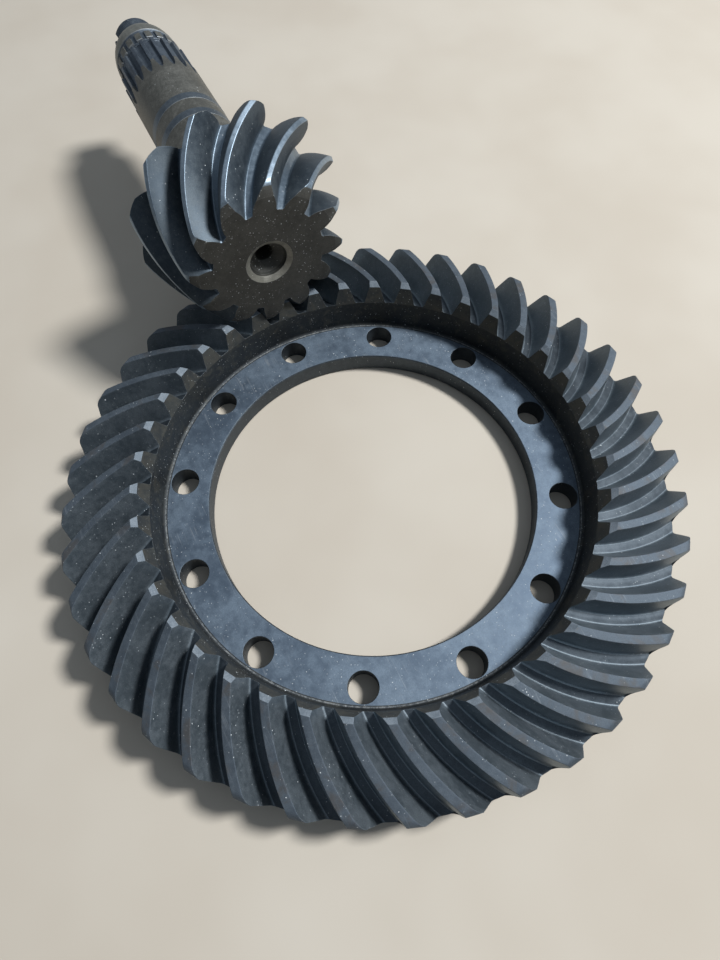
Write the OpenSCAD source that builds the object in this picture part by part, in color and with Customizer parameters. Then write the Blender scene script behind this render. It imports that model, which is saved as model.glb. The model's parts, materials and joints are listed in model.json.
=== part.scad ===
// Spiral bevel gear pair: a bolt-on crown wheel and a pinion forged in one
// piece with its shaft. Millimetres and degrees.
// Origin: centre of the crown wheel's back face. +Z is the crown wheel's axis,
// towards its teeth. +X is the pinion's axis, from its teeth towards the shaft end.
// Both toothed bodies are lofted through spherical involute sections about the
// common apex of the two pitch cones, so the flanks are conjugate at every radius.

/* [Pair] */
// Teeth on the crown wheel
wheel_teeth = 41; // [40:1:42]
// Teeth on the pinion
pinion_teeth = 12; // [12:1:13]
// Height of the pinion axis and the common apex above the back face
apex_h = 82; // [81:0.5:83]
// Transverse pressure angle
pressure_angle = 20; // [19:0.5:21]
// Mean spiral angle, left hand on the wheel and right hand on the pinion
spiral_angle = 33; // [25:1:36]
// Radius of the tooth trace, that of the cutter head
cutter_r = 130.7; // [120:1:140]
// Share of the circular pitch taken by a wheel tooth
wheel_tooth_share = 0.3; // [0.26:0.01:0.33]
// Angular backlash, measured on the wheel
backlash = 0.12; // [0.08:0.01:0.2]
// Wheel addendum angle
wheel_addendum = 0.74; // [0.6:0.02:0.8]
// Wheel dedendum angle
wheel_dedendum = 5.08; // [4.8:0.02:5.1]
// Angular clearance between a tip and the facing root
tip_clearance = 0.55; // [0.45:0.05:0.65]
// Angle turned off the pinion's crest on top of that clearance
pinion_topping = 0.25; // [0.1:0.05:0.35]
// Angle from a bolt hole to the next wheel tooth
tooth_phase = 3.3; // [0:0.1:8]

/* [Crown wheel] */
// Radius of the tooth ends at the crest
wheel_r = 176; // [176:1:178]
// Radius of the rim below the tooth roots
rim_r = 173.8; // [173:0.2:174]
// Distance from the apex to the toe end of the teeth
wheel_toe = 135.4; // [134:0.2:136]
// Bore that registers on the differential case
wheel_bore_r = 97; // [95:0.5:99]
// Radius of the bolt circle
bolt_circle_r = 113; // [112:0.5:114]
// Number of bolt holes
bolt_count = 12; // [10:1:12]
// Radius of a bolt hole
bolt_hole_r = 8.25; // [7.5:0.25:8.5]
// Thickness of the bolting flange
flange_t = 13.5; // [12:0.5:15]
// Radius of the flange recess at its foot
recess_r = 124.3; // [123.5:0.1:124.5]
// Radius of the fillet at the foot of the recess wall
recess_fillet = 2; // [1.5:0.5:4]
// Edge chamfer of the rim and the bore
wheel_edge = 2; // [1:0.5:2.5]

/* [Pinion head] */
// Position of the flat nose along the pinion axis
nose_x = 126.5; // [126:0.5:127]
// Distance from the apex to the heel end of the pinion teeth
pinion_heel = 187.5; // [187:0.5:189]
// Position of the flat back of the head
head_back_x = 184; // [183.5:0.5:185]
// Radius inside which the nose is flat; outside it the tooth ends lean back
nose_flat_r = 42; // [38:0.5:46]
// Lean of the tooth ends at the nose, as distance back per distance out
nose_lean = 0.42; // [0.1:0.02:0.6]
// Radius of the centre hole's shallow countersink at the nose
centre_cone_r = 14.5; // [13:0.5:16]
// Radius of the step inside the countersink
centre_step_r = 11.3; // [10:0.1:12]
// Radius of the pilot hole
centre_pilot_r = 5.2; // [4:0.1:6]
// Depth of the pilot hole
centre_depth = 24; // [16:1:30]

/* [Pinion shaft] */
// Radius of the inner bearing journal, next to the head
inner_journal_r = 27.5; // [27:0.5:29]
// End of the inner journal
inner_journal_end = 223; // [218:1:226]
// Radius of the main shaft and the outer bearing journal
shaft_r = 25; // [24.5:0.1:25.5]
// Start of the first ground land
land_a_start = 234.4; // [232:0.2:236]
// Start of the second ground land
land_b_start = 251.4; // [250:0.2:253]
// Width of a ground land
land_w = 6; // [4:0.5:8]
// Height of a ground land above the shaft
land_h = 0.35; // [0.3:0.05:0.5]
// Radius over the splines
spline_r = 24.5; // [24:0.1:24.8]
// Number of spline grooves
spline_count = 20; // [18:1:22]
// Depth of a spline groove
spline_depth = 2.4; // [2:0.1:2.6]
// Where the spline grooves run out towards the head
spline_start = 290.3; // [288:0.5:292]
// Where the splines end at the relief groove
spline_end = 326.1; // [324:0.5:328]
// Length of a spline groove's sloping run-out
spline_runout = 10; // [6:1:12]
// Width of the relief groove
relief_w = 3.6; // [3:0.2:5]
// Radius of the notched band beyond the relief groove
band_r = 23.4; // [23:0.1:23.8]
// Depth of the band's notches
band_depth = 1.1; // [0.8:0.1:1.2]
// Position of the ring groove that ends the band
ring_groove_x = 337; // [336:0.2:338]
// Width of the ring groove
ring_groove_w = 3.6; // [2:0.2:4]
// Radius at the floor of the ring groove
ring_groove_r = 21.6; // [21:0.1:22]
// Radius at the foot of the rounded collar
collar_r = 22.9; // [22:0.1:23.2]
// Radius at the small end of the rounded collar
collar_small_r = 17.5; // [17:0.1:18]
// End of the rounded collar
collar_end = 357.6; // [355:0.2:360]
// Radius of the threaded stub
stub_r = 15.5; // [14:0.5:16]
// Overall end of the shaft
shaft_end = 374; // [370:1:378]
// Pitch of the stub's thread grooves
thread_pitch = 2; // [1.5:0.5:2.5]
// Width of the cotter slot across the stub
cotter_w = 5; // [4:0.5:6]
// Depth of the cotter slot from the end of the stub
cotter_depth = 9; // [6:1:12]
// Turn of the cotter slot above the horizontal
cotter_turn = 25; // [0:5:90]

/* [Axis carrier] */
// Radius of the two crossed bars that stand in for the axle housing
carrier_r = 3; // [2:0.5:4]
// Reach of each bar from the crossing of the axes
carrier_reach = 12; // [8:1:20]

/* [Hidden] */
$fn = 96;

wheel_cone = atan(wheel_teeth / pinion_teeth);
pinion_cone = 90 - wheel_cone;
wheel_pitch = 360 / wheel_teeth;
pinion_pitch = 360 / pinion_teeth;
ratio = wheel_teeth / pinion_teeth;
wheel_half = (wheel_pitch * wheel_tooth_share - backlash) / 2;
pinion_half = (wheel_pitch * (1 - wheel_tooth_share) - backlash) * ratio / 2;
wheel_crest = wheel_cone + wheel_addendum;
wheel_root = wheel_cone - wheel_dedendum;
pinion_crest = pinion_cone + wheel_dedendum - tip_clearance - pinion_topping;
pinion_root = pinion_cone - wheel_addendum - tip_clearance;
wheel_heel = wheel_r / sin(wheel_crest);
pinion_nose = nose_x / cos(pinion_crest);
mean_dist = (wheel_toe + wheel_heel) / 2;
cutter_centre = sqrt(pow(mean_dist, 2) + pow(cutter_r, 2) - 2 * mean_dist * cutter_r * sin(spiral_angle));

// Spherical involute of a base cone: azimuth unrolled at cone angle t.
function base_cone(cone) = asin(sin(cone) * cos(pressure_angle));
function unrolled(t, b) = acos(min(1, cos(t) / cos(b))) / sin(b) - acos(min(1, tan(b) / tan(t)));
function involute(t, b) = t <= b ? 0 : unrolled(t, b);
function half_width(t, cone, half) =
    half + involute(cone, base_cone(cone)) - involute(t, base_cone(cone));

// Azimuth of the tooth trace at distance d from the apex, on the wheel.
function trace_angle(d) =
    acos((pow(d, 2) + pow(cutter_centre, 2) - pow(cutter_r, 2)) / (2 * d * cutter_centre));
function swirl(d) = (trace_angle(mean_dist) - trace_angle(d)) / sin(wheel_cone);

// One tooth as [azimuth, cone angle] from its left root to its right root.
// The fillet rises by lift while it narrows by spread.
function right_side(cone, half, root, crest, lift, spread, steps) = concat(
    [for (k = [steps:-1:0])
        let (t = root + lift + (crest - root - lift) * k / steps)
        [half_width(t, cone, half), t]],
    [[half_width(root + lift, cone, half) + spread * 0.3, root + lift * 0.3],
     [half_width(root + lift, cone, half) + spread, root]]);
function mirrored(side) = [for (k = [len(side) - 1:-1:0]) [-side[k][0], side[k][1]]];
function tooth(cone, half, root, crest, lift, spread, steps) =
    let (side = right_side(cone, half, root, crest, lift, spread, steps))
    concat(mirrored(side), side);

// Rings for the lofts. Every ring of a loft has the same number of points, and the
// circles that close a loft are turned as far as the tooth trace at distance d.
function wheel_point(d, t, a) = [d * sin(t) * cos(a), d * sin(t) * sin(a), apex_h - d * cos(t)];
function pinion_point(d, t, a) = [d * cos(t), d * sin(t) * sin(a), apex_h - d * sin(t) * cos(a)];
function pinion_circle(x, r, a) = [x, r * sin(a), apex_h - r * cos(a)];

// The heel ends of the wheel teeth lie on a slightly tapered turned rim.
function wheel_heel_dist(t) =
    (rim_r + (wheel_r - rim_r) * (t - wheel_root) / (wheel_crest - wheel_root)) / sin(t);
function wheel_dist(u, t) = wheel_toe + (wheel_heel_dist(t) - wheel_toe) * u;
function nose_dist(t) =
    max(nose_x / cos(t), (nose_x - nose_lean * nose_flat_r) / (cos(t) - nose_lean * sin(t)));
function pinion_dist(u, t) = nose_dist(t) + (pinion_heel - nose_dist(t)) * u;

// [share of the face width, crest angle]: the crest is chamfered at the toe and
// rounded off at the heel.
wheel_sections = [
    [0, wheel_crest - 1.33], [0.05, wheel_crest], [0.2, wheel_crest], [0.35, wheel_crest],
    [0.5, wheel_crest], [0.65, wheel_crest], [0.8, wheel_crest], [0.915, wheel_crest],
    [0.975, wheel_crest - 0.37], [1, wheel_crest - 1.13]];
pinion_sections = [
    [1, pinion_crest - 1.5], [0.94, pinion_crest], [0.8, pinion_crest], [0.7, pinion_crest],
    [0.6, pinion_crest], [0.5, pinion_crest], [0.4, pinion_crest], [0.3, pinion_crest],
    [0.2, pinion_crest], [0.1, pinion_crest], [0, pinion_crest]];

function wheel_tooth(crest) = tooth(wheel_cone, wheel_half, wheel_root, crest, 0.75, 0.5, 2);
function pinion_tooth(crest) = tooth(pinion_cone, pinion_half, pinion_root, crest, 0.45, 1.4, 4);

function wheel_ring(section) = [
    for (k = [0:wheel_teeth - 1], p = wheel_tooth(section[1]))
        let (d = wheel_dist(section[0], p[1]))
        wheel_point(d, p[1], p[0] + k * wheel_pitch + tooth_phase + swirl(d))];
function wheel_circle(r, z, d) = [
    for (k = [0:wheel_teeth - 1], p = wheel_tooth(wheel_crest))
        let (a = p[0] + k * wheel_pitch + tooth_phase + swirl(d))
        [r * cos(a), r * sin(a), z]];
function pinion_ring(section) = [
    for (k = [0:pinion_teeth - 1], p = pinion_tooth(section[1]))
        let (d = pinion_dist(section[0], p[1]))
        pinion_point(d, p[1], p[0] + (k + 0.5) * pinion_pitch + (tooth_phase + swirl(d)) * ratio)];
function nose_flat_ring() = [
    for (k = [0:pinion_teeth - 1], p = pinion_tooth(pinion_crest))
        let (d = nose_dist(p[1]))
        pinion_circle(nose_x, min(d * sin(p[1]) - 0.3, nose_flat_r),
            p[0] + (k + 0.5) * pinion_pitch + (tooth_phase + swirl(d)) * ratio)];
function pinion_disc(x, r, d) = [
    for (k = [0:pinion_teeth - 1], p = pinion_tooth(pinion_crest))
        pinion_circle(x, r, p[0] + (k + 0.5) * pinion_pitch + (tooth_phase + swirl(d)) * ratio)];

// Triangles between ring i and ring j of n points each.
function strip(i, j, n) = [
    for (k = [0:n - 1], half = [0, 1])
        let (a = i * n + k, b = i * n + (k + 1) % n, c = j * n + (k + 1) % n, d = j * n + k)
        half == 0 ? [a, b, c] : [a, c, d]];

module loft_ring(rings) {
    n = len(rings[0]);
    m = len(rings);
    polyhedron(
        points = [for (ring = rings) for (p = ring) p],
        faces = [for (i = [0:m - 1]) for (f = strip(i, (i + 1) % m, n)) f],
        convexity = 12);
}

module loft_solid(rings) {
    n = len(rings[0]);
    m = len(rings);
    first = [for (k = [n - 1:-1:0]) k];
    last = [for (k = [0:n - 1]) (m - 1) * n + k];
    polyhedron(
        points = [for (ring = rings) for (p = ring) p],
        faces = concat([for (i = [0:m - 2]) for (f = strip(i, i + 1, n)) f], [first, last]),
        convexity = 12);
}

// The toothed blank, solid under the teeth and left over-thick towards the centre.
module wheel_blank() {
    loft_ring(concat(
        [for (s = wheel_sections) wheel_ring(s)],
        [wheel_circle(rim_r, wheel_edge, wheel_heel),
         wheel_circle(rim_r - wheel_edge, 0, wheel_heel),
         wheel_circle(60, 0, wheel_toe),
         wheel_circle(recess_r - 0.3, 31.5, wheel_toe)]));
}

// Everything the lathe takes out of the middle: bore, recess, fillet and wall.
module wheel_turning() {
    rotate_extrude($fn = 180)
        polygon(concat(
            [[0, -1], [wheel_bore_r + wheel_edge / 2 + 1, -1], [wheel_bore_r, wheel_edge / 2]],
            [[wheel_bore_r, flange_t]],
            [for (a = [0:15:90])
                [recess_r - recess_fillet + recess_fillet * sin(a),
                 flange_t + recess_fillet - recess_fillet * cos(a)]],
            [[recess_r + 2.3, 36], [0, 36]]));
}

module crown_wheel() {
    color([0.2, 0.22, 0.25])
    difference() {
        wheel_blank();
        wheel_turning();
        for (k = [0:bolt_count - 1])
            rotate([0, 0, k * 360 / bolt_count])
                translate([bolt_circle_r, 0, -1])
                    cylinder(r = bolt_hole_r, h = flange_t + 2);
    }
}

module pinion_head() {
    loft_solid(concat(
        [pinion_disc(head_back_x, 44, pinion_heel)],
        [for (s = pinion_sections) pinion_ring(s)],
        [nose_flat_ring(), pinion_disc(nose_x, 20, pinion_nose)]));
}

// Half outline of the shaft, as [distance along the axis, radius].
function land_outline(start) = [
    [start, shaft_r], [start, shaft_r + land_h],
    [start + land_w, shaft_r + land_h], [start + land_w, shaft_r]];
function groove_outline(start, w, r_before, r_floor, r_after) = [
    [start, r_before], [start, r_floor], [start + w, r_floor], [start + w, r_after]];
function collar_outline(start) = [
    for (a = [0:12:72])
        [start + (collar_end - start) * sin(a) / sin(72),
         collar_small_r + (collar_r - collar_small_r) * (cos(a) - cos(72)) / (1 - cos(72))]];
function thread_outline() = [
    for (x = [collar_end + 1:thread_pitch:shaft_end - 2 * thread_pitch], half = [0, 1])
        [x + half * thread_pitch / 2, stub_r - (1 - half) * 0.6]];
shaft_outline = concat(
    [[head_back_x - 14, 0], [head_back_x - 14, inner_journal_r]],
    groove_outline(inner_journal_end, 2.5, inner_journal_r, shaft_r - 0.6, shaft_r),
    land_outline(land_a_start),
    land_outline(land_b_start),
    [[spline_start + 3, shaft_r], [spline_start + 4, spline_r]],
    groove_outline(spline_end, relief_w, spline_r, band_r - band_depth, band_r),
    groove_outline(ring_groove_x, ring_groove_w, band_r, ring_groove_r, collar_r),
    collar_outline(ring_groove_x + ring_groove_w),
    [[collar_end, stub_r - 0.6]],
    thread_outline(),
    [[shaft_end - 1.5, stub_r], [shaft_end, stub_r - 1.5], [shaft_end, 0]]);

module along_pinion_axis() {
    translate([0, 0, apex_h])
        rotate([0, 90, 0])
            children();
}

// One straight groove from start to end, its floor at floor_r. Shares are of the
// spacing between grooves. Over the run-out the floor slopes up to the surface.
module groove_cutter(start, runout, end, floor_r, floor_share, top_share) {
    spacing = 2 * PI * spline_r / spline_count;
    rise = 4;
    ends = [[start, shaft_r + 0.2], [start + runout, floor_r], [end, floor_r]];
    polyhedron(
        points = [for (e = ends) for (c = [[0, -floor_share], [rise, -top_share],
                                            [rise, top_share], [0, floor_share]])
            [-e[1] - c[0], c[1] * spacing / 2, e[0]]],
        faces = concat(
            [for (i = [0, 1]) for (f = strip(i, i + 1, 4)) f],
            [[3, 2, 1, 0], [8, 9, 10, 11]]));
}

module around_shaft() {
    along_pinion_axis()
        for (k = [0:spline_count - 1])
            rotate([0, 0, k * 360 / spline_count])
                children();
}

module centre_hole() {
    along_pinion_axis() {
        translate([0, 0, nose_x - 1])
            cylinder(r1 = centre_cone_r + 1.8, r2 = centre_step_r, h = 2.8);
        translate([0, 0, nose_x])
            cylinder(r = centre_step_r, h = 3.6);
        translate([0, 0, nose_x + 3.5])
            cylinder(r1 = centre_step_r - 0.6, r2 = centre_pilot_r, h = centre_step_r - centre_pilot_r);
        translate([0, 0, nose_x])
            cylinder(r = centre_pilot_r, h = centre_depth);
    }
}

module pinion_shaft() {
    color([0.36, 0.36, 0.32])
    difference() {
        union() {
            pinion_head();
            along_pinion_axis()
                rotate_extrude()
                    polygon([for (p = shaft_outline) [p[1], p[0]]]);
        }
        around_shaft()
            groove_cutter(spline_start, spline_runout, spline_end + relief_w / 2,
                spline_r - spline_depth, 0.42, 1);
        around_shaft()
            groove_cutter(spline_end + relief_w / 2, 0.2, ring_groove_x + 1,
                band_r - band_depth, 0.3, 0.5);
        centre_hole();
        translate([shaft_end - cotter_depth, 0, apex_h])
            rotate([cotter_turn, 0, 0])
                translate([0, -stub_r - 1, -cotter_w / 2])
                    cube([cotter_depth + 1, 2 * stub_r + 2, cotter_w]);
    }
}

// Two short crossed bars on the two axes, in the open space at the cones' apex.
module axis_carrier() {
    color([0.6, 0.6, 0.6])
    union() {
        translate([0, 0, apex_h - carrier_reach])
            cylinder(r = carrier_r, h = 2 * carrier_reach);
        translate([-carrier_reach, 0, apex_h])
            rotate([0, 90, 0])
                cylinder(r = carrier_r, h = 2 * carrier_reach);
    }
}

crown_wheel();
pinion_shaft();
axis_carrier();
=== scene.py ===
"""Looks of a spiral bevel gear pair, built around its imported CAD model.

Shapes are worked out in millimetres and degrees in the row frame, and become metres
when a mesh is made. Both toothed bodies are lofted through spherical involute
sections about the common apex of the two pitch cones.
"""
import json
import math

import bpy
import numpy as np
from mathutils import Matrix, Vector


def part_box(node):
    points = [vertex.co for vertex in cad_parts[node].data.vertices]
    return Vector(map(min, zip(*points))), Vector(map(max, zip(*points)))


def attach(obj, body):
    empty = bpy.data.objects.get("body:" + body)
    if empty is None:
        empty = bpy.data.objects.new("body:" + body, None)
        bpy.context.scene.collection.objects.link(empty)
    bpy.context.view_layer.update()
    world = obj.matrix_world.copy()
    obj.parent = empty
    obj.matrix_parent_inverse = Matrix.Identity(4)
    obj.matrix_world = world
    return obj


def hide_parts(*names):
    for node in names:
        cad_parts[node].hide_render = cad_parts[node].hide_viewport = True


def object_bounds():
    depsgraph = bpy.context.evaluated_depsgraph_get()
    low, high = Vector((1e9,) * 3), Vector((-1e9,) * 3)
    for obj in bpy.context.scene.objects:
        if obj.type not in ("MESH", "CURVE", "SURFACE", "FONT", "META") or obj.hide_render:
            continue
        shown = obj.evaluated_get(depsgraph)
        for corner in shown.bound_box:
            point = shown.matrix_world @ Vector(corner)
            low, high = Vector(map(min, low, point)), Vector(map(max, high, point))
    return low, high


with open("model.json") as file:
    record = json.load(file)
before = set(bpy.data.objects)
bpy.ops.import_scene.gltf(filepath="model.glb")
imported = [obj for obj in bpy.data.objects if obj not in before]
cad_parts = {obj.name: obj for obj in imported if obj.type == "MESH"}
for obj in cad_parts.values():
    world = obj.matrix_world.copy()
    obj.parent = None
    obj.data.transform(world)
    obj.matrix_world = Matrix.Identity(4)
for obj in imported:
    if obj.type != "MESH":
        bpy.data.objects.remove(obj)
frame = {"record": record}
cad_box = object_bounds()

MM = 0.001
mounts = {m["name"]: m for m in frame["record"]["mounts"]}
shaft_low, shaft_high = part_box("pinion_shaft")


def mount_mm(name, dim):
    return mounts[name]["dims"][dim]


def mount_x(name, side):
    """The near (-1) or far (1) end of a mount's wall along the pinion axis, in mm."""
    m = mounts[name]
    return m["pos_m"][0] / MM + side * m["dims"]["length_mm"] / 2


def sin(a):
    return np.sin(np.radians(a))


def cos(a):
    return np.cos(np.radians(a))


def tan(a):
    return np.tan(np.radians(a))


def acos(v):
    return np.degrees(np.arccos(np.clip(v, -1, 1)))


# ------------------------------------ the gear pair
WHEEL_TEETH = 41
PINION_TEETH = 12
APEX_H = mounts["inner_journal"]["pos_m"][2] / MM
PRESSURE_ANGLE = 20
SPIRAL_ANGLE = 33           # at the middle of the face
CUTTER_R = 130.7            # radius of the tooth trace
WHEEL_SHARE = 0.30          # share of the pitch taken by a wheel tooth
BACKLASH = 0.12             # degrees on the wheel
WHEEL_ADDENDUM = 0.74       # degrees above the pitch cone
WHEEL_DEDENDUM = 5.08       # degrees below it
TIP_CLEARANCE = 0.55        # degrees between a tip and the facing root
PINION_TOPPING = 0.25       # turned off the pinion's crest on top of that clearance
TOOTH_PHASE = 3.3           # degrees from a bolt hole to the next wheel tooth

WHEEL_R = 176.0             # crest at the heel
WHEEL_TOE = 135.4           # distance from the apex to the toe end
NOSE_X = shaft_low.x / MM
PINION_HEEL = 187.5         # distance from the apex to the heel end

RATIO = WHEEL_TEETH / PINION_TEETH
WHEEL_PITCH = 360 / WHEEL_TEETH
PINION_PITCH = 360 / PINION_TEETH
WHEEL_CONE = math.degrees(math.atan(RATIO))
PINION_CONE = 90 - WHEEL_CONE
WHEEL_HALF = (WHEEL_PITCH * WHEEL_SHARE - BACKLASH) / 2
PINION_HALF = (WHEEL_PITCH * (1 - WHEEL_SHARE) - BACKLASH) * RATIO / 2
WHEEL_CREST = WHEEL_CONE + WHEEL_ADDENDUM
WHEEL_ROOT = WHEEL_CONE - WHEEL_DEDENDUM
PINION_CREST = PINION_CONE + WHEEL_DEDENDUM - TIP_CLEARANCE - PINION_TOPPING
PINION_ROOT = PINION_CONE - WHEEL_ADDENDUM - TIP_CLEARANCE
WHEEL_HEEL = WHEEL_R / float(sin(WHEEL_CREST))
MEAN_DIST = (WHEEL_TOE + WHEEL_HEEL) / 2
CUTTER_CENTRE = math.sqrt(MEAN_DIST ** 2 + CUTTER_R ** 2
                          - 2 * MEAN_DIST * CUTTER_R * sin(SPIRAL_ANGLE))

# Each profile in degrees. bevel and bevel_across are the rounding of the crest's edge, down
# the flank and along the crest. lift and spread are the fillet's height above the root and
# its reach along it. root_ridge is how far the root rises towards its middle.
WHEEL_GEAR = dict(cone=WHEEL_CONE, half=WHEEL_HALF, root=WHEEL_ROOT, pitch=WHEEL_PITCH,
                  bevel=0.07, bevel_across=0.07, lift=0.75, spread=0.72, root_ridge=0.05,
                  crest_steps=2, bevel_steps=2, flank_steps=10, fillet_steps=6,
                  root_steps=2)
PINION_GEAR = dict(cone=PINION_CONE, half=PINION_HALF, root=PINION_ROOT,
                   pitch=PINION_PITCH, bevel=0.07, bevel_across=0.3, lift=0.45,
                   spread=1.9, root_ridge=0.0,
                   crest_steps=3, bevel_steps=3, flank_steps=14, fillet_steps=7,
                   root_steps=3)
BEVEL_PULL = 0.3            # share of bevel_across left at the bevel's control point
SLOPE_STEP = 0.05           # cone angle over which a flank's slope is measured
TINY_ANGLE = 1e-6           # keeps the involute just outside its base cone


# ------------------------------------ tooth geometry
def involute(t, cone):
    """Azimuth unrolled at cone angle t from the base cone of a pitch cone."""
    b = np.degrees(np.arcsin(sin(cone) * cos(PRESSURE_ANGLE)))
    t = np.maximum(t, b + TINY_ANGLE)
    return acos(cos(t) / cos(b)) / sin(b) - acos(tan(b) / tan(t))


def half_width(gear, t):
    """Half a tooth's width in azimuth at cone angle t."""
    cone = gear["cone"]
    return gear["half"] + involute(cone, cone) - involute(t, cone)


def trace_angle(d):
    """Angle that the cutter's circle has swept at distance d from the apex."""
    return acos((d ** 2 + CUTTER_CENTRE ** 2 - CUTTER_R ** 2) / (2 * d * CUTTER_CENTRE))


def swirl(d):
    """Azimuth by which the wheel's teeth curve away at distance d from the apex."""
    return (trace_angle(MEAN_DIST) - trace_angle(d)) / sin(WHEEL_CONE)


def curve(a, b, c, steps):
    """Points of a quadratic curve from a to c that leaves and arrives towards b."""
    s = np.linspace(0, 1, steps + 1)[:, None]
    return (1 - s) ** 2 * np.array(a) + 2 * s * (1 - s) * np.array(b) + s ** 2 * np.array(c)


def crest_and_flank(gear, crest):
    """[azimuth, cone angle] from the crest's middle to just before the flank's foot."""
    edge = crest - gear["bevel"]
    crest_half = half_width(gear, crest)
    land = crest_half - gear["bevel_across"]
    top = np.c_[np.linspace(0, land, gear["crest_steps"] + 1)[:-1],
                np.full(gear["crest_steps"], crest)]
    bevel = curve((land, crest), (crest_half - BEVEL_PULL * gear["bevel_across"], crest),
                  (half_width(gear, edge), edge), gear["bevel_steps"])[:-1]
    t = np.linspace(edge, gear["root"] + gear["lift"], gear["flank_steps"] + 1)
    return np.vstack([top, bevel, np.c_[half_width(gear, t), t][:-1]])


def fillet_and_root(gear):
    """[azimuth, cone angle] from the flank's foot to the middle of the root."""
    root = gear["root"]
    foot = root + gear["lift"]
    foot_half = half_width(gear, foot)
    slope = (foot_half - half_width(gear, foot + SLOPE_STEP)) / SLOPE_STEP
    reach = foot_half + gear["spread"]
    fillet = curve((foot_half, foot), (foot_half + slope * gear["lift"], root),
                   (reach, root), gear["fillet_steps"])
    share = np.linspace(0, 1, gear["root_steps"] + 1)[1:]
    floor = np.c_[reach + (gear["pitch"] / 2 - reach) * share,
                  root + gear["root_ridge"] * share]
    return np.vstack([fillet, floor])


def tooth(gear, crest):
    """One whole pitch of profile, from root middle to just before the next one."""
    side = np.vstack([crest_and_flank(gear, crest), fillet_and_root(gear)])
    left = side[::-1] * (-1, 1)
    return np.vstack([left[:-1], side])[:-1]


def zone_of_profile(gear):
    """Zone name of each profile column, matching the points of tooth()."""
    side = []
    for zone in ("crest", "bevel", "flank", "fillet", "root"):
        side += [zone] * gear[zone + "_steps"]
    return side[::-1] + side


def repeat_teeth(profile, count):
    """Azimuths and cone angles of all the teeth in a row."""
    pitch = 360 / count
    a = np.concatenate([profile[:, 0] + k * pitch for k in range(count)])
    return a, np.tile(profile[:, 1], count)


def around_pinion(x, r, a):
    """Points at radius r and azimuth a round the pinion axis."""
    return np.c_[np.broadcast_to(x, a.shape), r * sin(a), APEX_H - r * cos(a)]


# ------------------------------------ meshes
SHARP_ANGLE = 30            # edges steeper than this stay sharp
FLAT_WEIGHT = 60            # how strongly large faces hold the shading normals flat
CUT_PAST = 1.0              # how far a cutter reaches past the faces that it cuts
EDGE_HOLD = 0.3             # from an edge to the ring that keeps its shading tight
FACE_HOLD = 0.4             # the same, on a wide flat face


def ring_faces(rings, n):
    """Quads between each ring of n points and the next, all the rings being in order."""
    i = np.arange(n)
    j = (i + 1) % n
    rows = np.arange(rings - 1)[:, None] * n
    return np.stack([rows + i, rows + j, rows + n + j, rows + n + i], -1).reshape(-1, 4)


def mesh_object(name, verts_mm, quads, zones, finish, polys=()):
    """A mesh from quads and a few larger polygons. finish is (materials, slot of each
    zone), and zones holds a zone index for each face."""
    materials, slots = finish
    mesh = bpy.data.meshes.new(name)
    faces = [tuple(int(v) for v in q) for q in quads] + [tuple(p) for p in polys]
    mesh.from_pydata((np.asarray(verts_mm) * MM).tolist(), [], faces)
    for m in materials:
        mesh.materials.append(m)
    mesh.polygons.foreach_set("material_index", np.array(slots)[zones].astype(np.int32))
    mesh.polygons.foreach_set("use_smooth", np.ones(len(faces), bool))
    mesh.update()
    o = bpy.data.objects.new(name, mesh)
    bpy.context.scene.collection.objects.link(o)
    return o


def apply_modifiers(o):
    bpy.context.view_layer.update()
    dg = bpy.context.evaluated_depsgraph_get()
    mesh = bpy.data.meshes.new_from_object(o.evaluated_get(dg))
    o.modifiers.clear()
    o.data = mesh
    o.data.name = o.name


def cut(o, cutter):
    m = o.modifiers.new("cut", "BOOLEAN")
    m.operation = "DIFFERENCE"
    m.solver = "MANIFOLD"
    m.object = cutter
    apply_modifiers(o)
    bpy.data.objects.remove(cutter)


def sharpen(o):
    """Smooth shading that stops at the sharp edges, with flat faces kept flat."""
    o.data.polygons.foreach_set("use_smooth", np.ones(len(o.data.polygons), bool))
    o.data.set_sharp_from_angle(angle=math.radians(SHARP_ANGLE))
    m = o.modifiers.new("flat faces", "WEIGHTED_NORMAL")
    m.keep_sharp = True
    m.weight = FLAT_WEIGHT
    apply_modifiers(o)


def flip_if_inside_out(verts, quads):
    """The quads, turned round if the volume they close comes out negative."""
    a, b, c, d = (verts[quads[:, k]] for k in range(4))
    volume = (np.cross(a, b) * c).sum() + (np.cross(a, c) * d).sum()
    return quads if volume > 0 else quads[:, ::-1]


# ------------------------------------ crown wheel
RIM_R = 173.8
RIM_TOP_Z = 12.4            # where the rim meets the ends of the teeth
RIM_BAND = 1.0              # height of the rim's plain strip below that
RIM_EDGE = 2.0
BORE_R = mount_mm("case_register", "r_mm")
BORE_FOOT_EDGE = 1.0
BORE_TOP_EDGE = 0.6
BOLT_CIRCLE_R = mount_mm("case_bolts", "pcd_mm") / 2
BOLT_HOLE_R = mount_mm("case_bolts", "hole_r_mm")
BOLT_COUNT = mount_mm("case_bolts", "count")
BOLT_EDGE = 0.2             # chamfer of a bolt hole
BOLT_SIDES = 72
FLANGE_T = 13.5
RECESS_R = 124.3
RECESS_FILLET = 2.0
FILLET_STEPS = 8
DUST_TURN = 30              # how far up the fillet the line of dust reaches
FLANGE_HOLD = 0.5           # from the fillet's foot to the flange's last ring
WALL_TOP_R = 126.1
WALL_TOP_Z = 32.0
WALL_TOP_RUN = 0.6          # height of the strip at the wall's top
WALL_TOP_LEAN = 0.05        # and how much wider it gets there
TOE_FACET = 0.05            # share of the face width under the toe's crest facet
TOE_DROP = 1.33             # how far that facet drops, in degrees
HEEL_CORNER_R = 4.0         # radius of the rounded corner between crest and heel
HEEL_CORNER_TURN = 84       # degrees of that corner
HEEL_CORNER_STEPS = 7
FACE_STEPS = 34
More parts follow.
